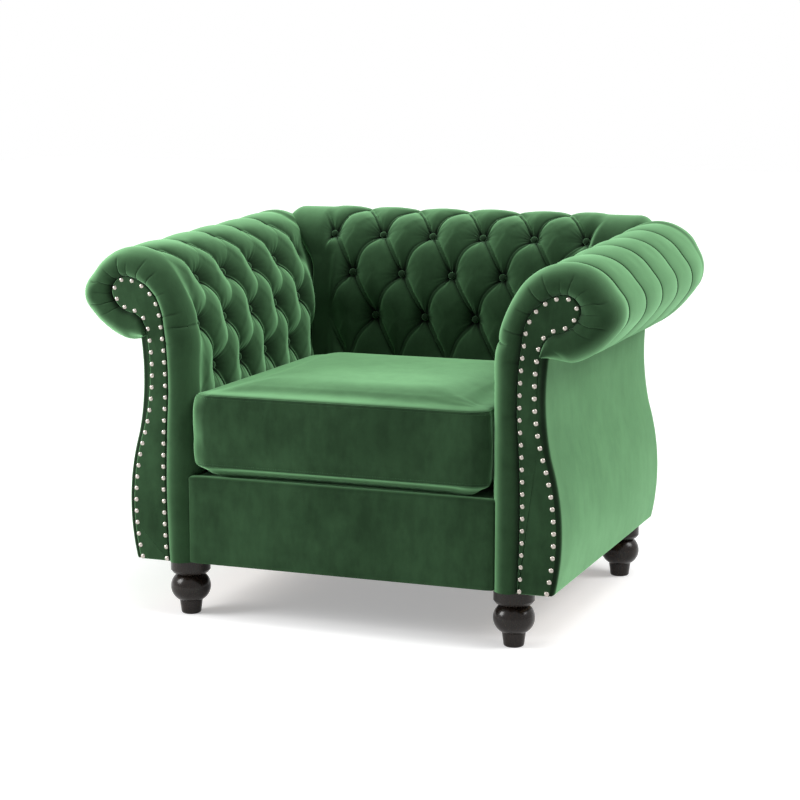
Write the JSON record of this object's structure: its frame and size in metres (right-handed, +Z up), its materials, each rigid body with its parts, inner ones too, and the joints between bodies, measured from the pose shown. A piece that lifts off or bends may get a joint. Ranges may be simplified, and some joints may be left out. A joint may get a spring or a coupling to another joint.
{
  "type": "armchair",
  "caption": "Low tufted armchair with rolled arms and back of one height, loose box seat cushion, nail-trimmed scroll fronts and turned bun feet.",
  "frame": {"origin": "middle of the footprint's bounding box, on the floor under the feet", "axes": "+X towards the right-hand side of someone facing the chair, +Y from the chair's front to its back, +Z up"},
  "size_m": [1.0314, 0.8188, 0.7021],
  "materials": {
    "velvet": "velvet",
    "foot_wood": "gloss",
    "nail_metal": "polished",
    "frame_wood": "sawn",
    "millboard": "matte",
    "steel": "zinc",
    "foam": "foam",
    "deck_felt": "felt",
    "black_cloth": "matte"
  },
  "bodies": {
    "chair_frame": {"arm_base_rail_left": "frame_wood", "arm_base_rail_right": "frame_wood", "arm_border_left": "velvet", "arm_border_right": "velvet", "arm_buttons_left": "velvet", "arm_buttons_right": "velvet", "arm_facing_left": "velvet", "arm_facing_right": "velvet", "arm_front_board_left": "frame_wood", "arm_front_board_right": "frame_wood", "arm_inner_panel_left": "millboard", "arm_inner_panel_right": "millboard", "arm_nails_left": "nail_metal", "arm_nails_right": "nail_metal", "arm_outer_panel_left": "velvet", "arm_outer_panel_right": "velvet", "arm_pad_left": "velvet", "arm_pad_right": "velvet", "arm_rear_board_left": "frame_wood", "arm_rear_board_right": "frame_wood", "arm_rear_cover_left": "velvet", "arm_rear_cover_right": "velvet", "arm_scroll_former_left": "millboard", "arm_scroll_former_right": "millboard", "arm_seat_rail_left": "frame_wood", "arm_seat_rail_right": "frame_wood", "arm_upper_rail_left": "frame_wood", "arm_upper_rail_right": "frame_wood", "back_buttons": "velvet", "back_inner_panel": "millboard", "back_lower_rail": "frame_wood", "back_outer_panel": "velvet", "back_pad": "velvet", "back_roll_end_left": "velvet", "back_roll_end_right": "velvet", "back_scroll_former": "millboard", "back_seat_rail": "frame_wood", "back_side_board_left": "frame_wood", "back_side_board_right": "frame_wood", "back_upper_rail": "frame_wood", "dust_cloth": "black_cloth", "foot_bolts": "steel", "foot_front_left": "foot_wood", "foot_front_right": "foot_wood", "foot_inserts": "steel", "foot_rear_left": "foot_wood", "foot_rear_right": "foot_wood", "frame_bolts": "steel", "frame_nuts": "steel", "front_rail_cover": "velvet", "seat_corner_blocks": "frame_wood", "seat_deck": "deck_felt", "seat_front_rail": "frame_wood", "seat_rear_rail": "frame_wood", "seat_side_rail_left": "frame_wood", "seat_side_rail_right": "frame_wood", "seat_springs": "steel", "spring_clips": "steel"},
    "seat_cushion": {"cushion_cover": "velvet", "cushion_core": "foam"}
  },
  "joints": [
    {"name": "cushion_lift", "type": "slide", "parent": "chair_frame", "child": "seat_cushion", "axis": [0, 0, 1], "range_m": [0, 0.46]}
  ]
}
